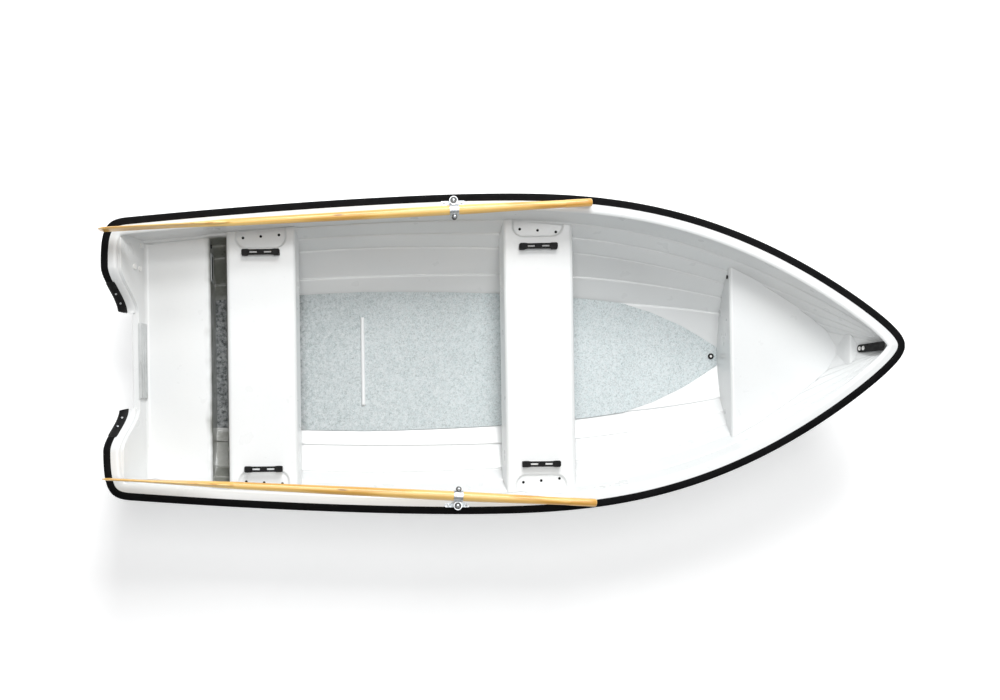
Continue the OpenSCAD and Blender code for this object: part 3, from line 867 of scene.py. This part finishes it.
def make_bow_boss():
    """Moulded step at the stem that carries the strap, faired into the bow seat."""
    lo, hi = box_mm("bow_boss")
    foot = lo.x - 14
    rise = [(mix(foot, lo.x + 34, f), mix(lo.z + 1, hi.z, ease(f))) for f in even(0, 1, 16)]
    top = [(x, hi.z) for x in even(lo.x + 38, hi.x - 3, 8)]
    under = [(mix(hi.x - 3, foot, f), mix(hi.z - 9, lo.z - 4, f ** 1.1)) for f in even(0, 1, 12)]
    obj = loft("bow_boss_moulding", cross_rings(rise + top + under, even(-1, 1, 24)), finish["gelcoat"],
               fan=True, sharp=60)
    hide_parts("bow_boss")


# ---------------------------------------------------------------- fittings
mid_handle_y = 512
rear_port_y = 504
rear_star_y = 518


def make_handles():
    """Black grab handles: a waisted grip with two slots on two square feet, placed as in the CAD."""
    lo, hi = box_mm("grab_handles")
    length, width, height = 180, 30, hi.z - lo.z
    foot = 30
    grip = 26
    outline = []
    soft = 2.4
    for sx, sy in ((1, 1), (-1, 1), (-1, -1), (1, -1)):
        corner = [(length / 2 - soft, width / 2 - 4 - soft), (length / 2 - 4 - soft, width / 2 - soft),
                  (length / 2 - foot + 4, width / 2 - soft), (length / 2 - foot - 8, grip / 2 - soft)]
        run = corner if sx * sy > 0 else corner[::-1]
        outline += [(sx * x, sy * y) for x, y in run]
    slot_hole = rounded_outline(35 + 2 * soft, 7.5 + 2 * soft, 4)
    holes = [[(x + dx, y) for x, y in slot_hole] for dx in (-34, 34)]
    mid_x = 0.5 * (box_mm("mid_thwart")[0].x + box_mm("mid_thwart")[1].x)
    rear_x = 0.5 * (box_mm("rear_thwart")[0].x + box_mm("rear_thwart")[1].x)
    centres = [(mid_x, mid_handle_y), (mid_x, -mid_handle_y), (rear_x, rear_port_y), (rear_x, -rear_star_y)]
    for i, (x, y) in enumerate(centres):
        place = Matrix.Translation(Vector((x, y, lo.z)) * MM)
        plate(f"handle_grip_{i + 1}", [outline] + holes, height - 12, height,
                          finish["black_plastic"], soft, place)
        feet = [block(foot - 1, width - 1, 0, height - 10, (x + s * (length - foot) / 2, y, lo.z), 4, 1, 1)
                for s in (-1, 1)]
        joined(f"handle_feet_{i + 1}", feet, finish["black_plastic"])
    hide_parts("grab_handles")


def make_motor_pad():
    """Grooved pad on the transom under the notch."""
    lo, hi = box_mm("motor_pad")
    rows = []
    thick = 12
    ribs = 3
    for k in range(97):
        f = k / 96
        z = mix(lo.z + 6, hi.z - 1, f)
        rib = min(1, 2.2 * abs(math.sin(math.pi * ribs * f)))
        edge = min(1, f * 30, (1 - f) * 30)
        rows.append((z, 1 + (thick - 5 + 4.0 * rib) * edge ** 0.5))
    back = [Vector((plate_x(z) + 0.5, 0, z)) for z in (rows[-1][0], rows[0][0])]
    face = [Vector((plate_x(z) + t, 0, z)) for z, t in rows]
    rings = []
    for y, f in ((lo.y, 0.7), (lo.y + 1.5, 0.92), (lo.y + 4, 1),
                 (hi.y - 4, 1), (hi.y - 1.5, 0.92), (hi.y, 0.7)):
        rings.append([Vector((mix(plate_x(p.z) + 0.5, p.x, f), y, p.z)) for p in face + back])
    obj = loft("motor_pad_grooved", rings, finish["grey_plastic"], sharp=50)
    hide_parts("motor_pad")


def make_foot_rib():
    """Rounded rib moulded across the sole for the rower's heels."""
    lo, hi = box_mm("foot_rib")
    half, high, mid = (hi.x - lo.x) / 2, hi.z - lo.z, (lo.x + hi.x) / 2
    rings = []
    nose_l = 9
    near = (0, 1, 2.5, 5, nose_l)
    stops = [lo.y + k for k in near] + even(lo.y + 14, hi.y - 14, 40) + [hi.y - k for k in near[::-1]]
    for y in stops:
        f = min(1, math.sqrt(max(0.02, 1 - max(0, 1 - min(y - lo.y, hi.y - y) / nose_l) ** 2)))
        arch = [(mid + half * mix(0.6, 1, f) * math.cos(a),
                 lo.z + 0.4 + (high - 0.4) * f * math.sin(a) ** 0.7)
                for a in [math.pi * k / 14 for k in range(15)]]
        rings.append([Vector((x, y, z)) for x, z in arch + [(mid, lo.z)]])
    obj = loft("foot_rib_moulding", rings, finish["gelcoat"])
    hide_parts("foot_rib")


def make_hatch():
    """Frame and lid of the locker hatch in the front of the stern seat."""
    lo, hi = box_mm("hatch_plate")
    wide, high = hi.y - lo.y, hi.z - lo.z
    turn = Matrix(((0, 0, 1, 0), (1, 0, 0, 0), (0, 1, 0, 0), (0, 0, 0, 1)))
    mid_y = (lo.y + hi.y) / 2
    mid_z = (lo.z + hi.z) / 2
    place = Matrix.Translation(Vector((lo.x, mid_y, mid_z)) * MM) @ turn
    border = [rounded_outline(wide, high, 9), rounded_outline(wide - 22, high - 22, 6)]
    frame_piece = plate("hatch_frame", border, 0.2, 4, finish["grey_plastic"], 0.9, place)
    lid_outline = [rounded_outline(wide - 25, high - 25, 5)]
    lid = plate("hatch_lid", lid_outline, 0.2, 3, finish["black_plastic"], 0.8, place)
    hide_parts("hatch_plate")
    inset = 5.5
    heads = [lathe(screw_profile(2.6), (lo.x + 3.4, mid_y + sy * (wide / 2 - inset),
                                        mid_z + sz * (high / 2 - inset)), (1, 0, 0), 16)
             for sy in (-1, 1) for sz in (-1, 1)]
    joined("hatch_screws", heads, finish["galvanised"])


def make_strap_eyes():
    """Pale eyelets in the bow strap, and the plug of the drain."""
    foot = Vector((x_tip - 153, 0, box_mm("bow_boss")[1].z + 1))
    head = Vector((x_tip - flange_in - 6, 0, rim_z(x_tip) - 12))
    along = (head - foot).normalized()
    up = Vector((-along.z, 0, along.x))
    eyelet = [(6.8, 0.5), (6.8, 8.2), (8.8, 8.3), (9.6, 8.8),
              (8.6, 9.6), (6.6, 9.4), (5.6, 8.4), (5.4, 0.5)]
    rings = [lathe(eyelet, foot + along * x, up, 28) for x in (16, 42)]
    drain_lo, drain_hi = box_mm("drain_ring")
    middle = (drain_lo + drain_hi) / 2
    cap = [(5.5, -2), (5.5, 0.4), (4.6, 1.2), (2.5, 1.7), (0.05, 1.8)]
    obj = joined("drain_plug", [lathe(cap, (middle.x, middle.y, drain_hi.z))], finish["white_plastic"])
    obj = joined("strap_eyelets", rings, finish["white_plastic"])


def make_lock_hardware():
    """Screws of the oarlock bases, and the nut and washer of each clamp bolt."""
    base_z = box_mm("oarlock_bases")[0].z
    for name, side in (("port", 1), ("starboard", -1)):
        lock = lock_point(name)
        heads = [lathe(screw_profile(5.2), (lock.x + s * 41, lock.y, base_z + 6)) for s in (-1, 1)]
        obj = joined(name + "_base_screws", heads, finish["galvanised"])
        place = oar_place(name)
        bolt_y = -side * (loom_r + 3.5 + 7)
        nut = [(8.5, 13), (8.5, 18.5), (7.4, 20), (5.2, 21.5), (0.05, 22.5)]
        obj = joined(name + "_clamp_nuts",
                     [lathe(nut, (0, bolt_y, 0), (0, 0, 1), 6), lathe(nut, (0, bolt_y, 0), (0, 0, -1), 6)],
                     finish["galvanised"], body=name + "_oar", place=place)
        washer = [(11.5, 8.2), (12, 8.8), (12, 12.2), (11.5, 12.9), (0.05, 12.9)]
        obj = joined(name + "_clamp_washers",
                     [lathe(washer, (0, bolt_y, 0)), lathe(washer, (0, bolt_y, 0), (0, 0, -1))],
                     finish["bearing_plastic"], body=name + "_oar", place=place)


# ---------------------------------------------------------------- oars
loom_r = 22
oar_y = 44
oar_slope = 1.9
yaw = {"port": 2.6, "starboard": 3.6}
oar_out = 1618
oar_in = 634
blade_root = 610 - oar_out


def lock_point(name):
    joint = next(j for j in frame["record"]["behaviour"]["joints"] if j["name"] == name + "_rock")
    return Vector(joint["pos_m"]) / MM


def oar_place(name):
    """Frame of an oar in its clamp: x towards the grip."""
    side = 1 if name == "port" else -1
    return (Matrix.Translation(lock_point(name) * MM)
            @ Matrix.Rotation(math.radians(side * yaw[name]), 4, "Z")
            @ Matrix.Translation((0, -side * oar_y * MM, 0))
            @ Matrix.Rotation(math.radians(oar_slope), 4, "Y"))


def along_table(x, table):
    return float(np.interp(x, [t[0] for t in table], [t[1] for t in table]))


blade_half = [(-oar_out, 34), (-oar_out + 3, 42), (-oar_out + 9, 49),
              (-oar_out + 18, 54), (-oar_out + 30, 56),
              (-oar_out + 360, 50), (blade_root - 130, 36), (blade_root - 60, 26), (blade_root + 20, 12),
              (oar_in, 12)]
stem_r = [(-oar_out, 0.5), (-oar_out + 60, 2), (-oar_out + 150, 6), (blade_root, 17), (-140, loom_r),
          (90, loom_r), (oar_in - 145, 17), (oar_in - 125, 17.2), (oar_in - 120, 18), (oar_in - 8, 18),
          (oar_in - 3, 16.5), (oar_in, 12)]


def make_oar(name):
    """Flat-bladed pine oar with a ridge down the blade and a turned grip."""
    stops = ([-oar_out + k for k in (0, 1.5, 3, 6, 9, 13, 18, 24, 30)]
             + even(-oar_out + 40, blade_root + 60, 70)
             + even(blade_root + 80, oar_in - 160, 60)
             + [oar_in - k for k in (145, 135, 125, 122, 120, 118, 90, 60, 30, 8, 5, 3, 1, 0)])
    sides = 56
    rings = []
    for x in stops:
        h = along_table(x, blade_half)
        stem = along_table(x, stem_r)
        tall = max(h, stem)
        flat = 5.6 * ease((x + oar_out + 14) / 40) + 0.4
        ring_points = []
        for k in range(sides):
            a = 2 * math.pi * k / sides
            z = tall * math.sin(a)
            board = flat * (1 - min(1, abs(z) / h) ** 5) ** 0.5 if h > stem * 0.6 and abs(z) < h else 0
            round_part = math.sqrt(max(0, stem * stem - z * z))
            ring_points.append(Vector((x, math.copysign(max(board, round_part), math.cos(a)), z)))
        rings.append(ring_points)
    obj = loft(name + "_oar_pine", rings, finish["pine"], body=name + "_oar", sharp=45,
               place=oar_place(name))
    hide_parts({"port": "port_oar", "starboard": "star_oar"}[name])


# ---------------------------------------------------------------- build
for node, obj in nodes.items():
    for slot_item in obj.material_slots:
        slot_item.material = finish[node_slot[node]]
for node, width in (("bow_strap", 1.5), ("stern_plugs", 1.5), ("vent_discs", 1),
                    ("drain_ring", 0.8), ("oarlock_bases", 0.8), ("port_clamp", 0.7), ("star_clamp", 0.7),
                    ("sole", 3), ("keel_strip", 2), ("bilge_runners", 2)):
    soft_edges(nodes[node], width)

make_hull()
make_transom()
make_rim()
make_rail_caps()
for thwart_node in ("rear_thwart", "mid_thwart"):
    make_thwart(thwart_node)
make_stern_seat()
make_bow_seat()
make_bow_boss()
make_handles()
make_motor_pad()
make_foot_rib()
make_hatch()
make_strap_eyes()
make_lock_hardware()
for oar_name in ("port", "starboard"):
    make_oar(oar_name)


# ---------------------------------------------------------------- studio
def make_stage():
    """Pale floor that curves up into a round backdrop far behind the boat, as in a photo studio."""
    flat_r = 13
    curve_r = 8
    sides = 96
    rise = [(0.01, 0), (6, 0), (flat_r, 0)]
    rise += [(flat_r + curve_r * math.sin(a), curve_r * (1 - math.cos(a)))
             for a in [math.pi / 2 * k / 16 for k in range(1, 17)]]
    points = [Vector((r * math.cos(a), r * math.sin(a), z))
              for r, z in rise for a in [2 * math.pi * k / sides for k in range(sides)]]
    mesh = bpy.data.meshes.new("floor")
    mesh.from_pydata(points, [], loft_faces(len(rise), sides)[:-1])
    mesh.shade_smooth()
    mesh.materials.append(make_floor())
    floor = bpy.data.objects.new("floor", mesh)
    floor.location.z = -0.0005
    scene.collection.objects.link(floor)


def make_light(name, at, target, size, power):
    data = bpy.data.lights.new(name, "AREA")
    data.size = size
    data.energy = power
    lamp = bpy.data.objects.new(name, data)
    lamp.location = at
    lamp.rotation_euler = (Vector(target) - Vector(at)).to_track_quat("-Z", "Y").to_euler()
    scene.collection.objects.link(lamp)


def make_studio():
    make_stage()
    world = bpy.data.worlds.new("studio")
    world.use_nodes = True
    sky = world.node_tree.nodes["Background"]
    sky.inputs["Color"].default_value = (0.97, 0.985, 1.0, 1)
    sky.inputs["Strength"].default_value = 0.19
    scene.world = world
    make_light("key", (0.6, 6.0, 6.5), (0, 0, 0.3), 4.0, 680)
    make_light("top", (0, 0.8, 9.5), (0, 0, 0.3), 5.0, 330)
    scene.view_settings.view_transform = "Standard"


def make_camera():
    """Camera almost straight above, looking down on the open boat."""
    data = bpy.data.cameras.new("camera")
    data.sensor_width = 36
    data.lens = 53.853
    data.shift_x = 0.1396
    data.shift_y = 0.1077
    cam = bpy.data.objects.new("camera", data)
    cam.location = (-0.5705, -0.4998, 7.3971)
    cam.rotation_euler = [math.radians(a) for a in (0.23057, 0.57375, -0.81178)]
    scene.collection.objects.link(cam)
    scene.camera = cam


make_camera()
make_studio()
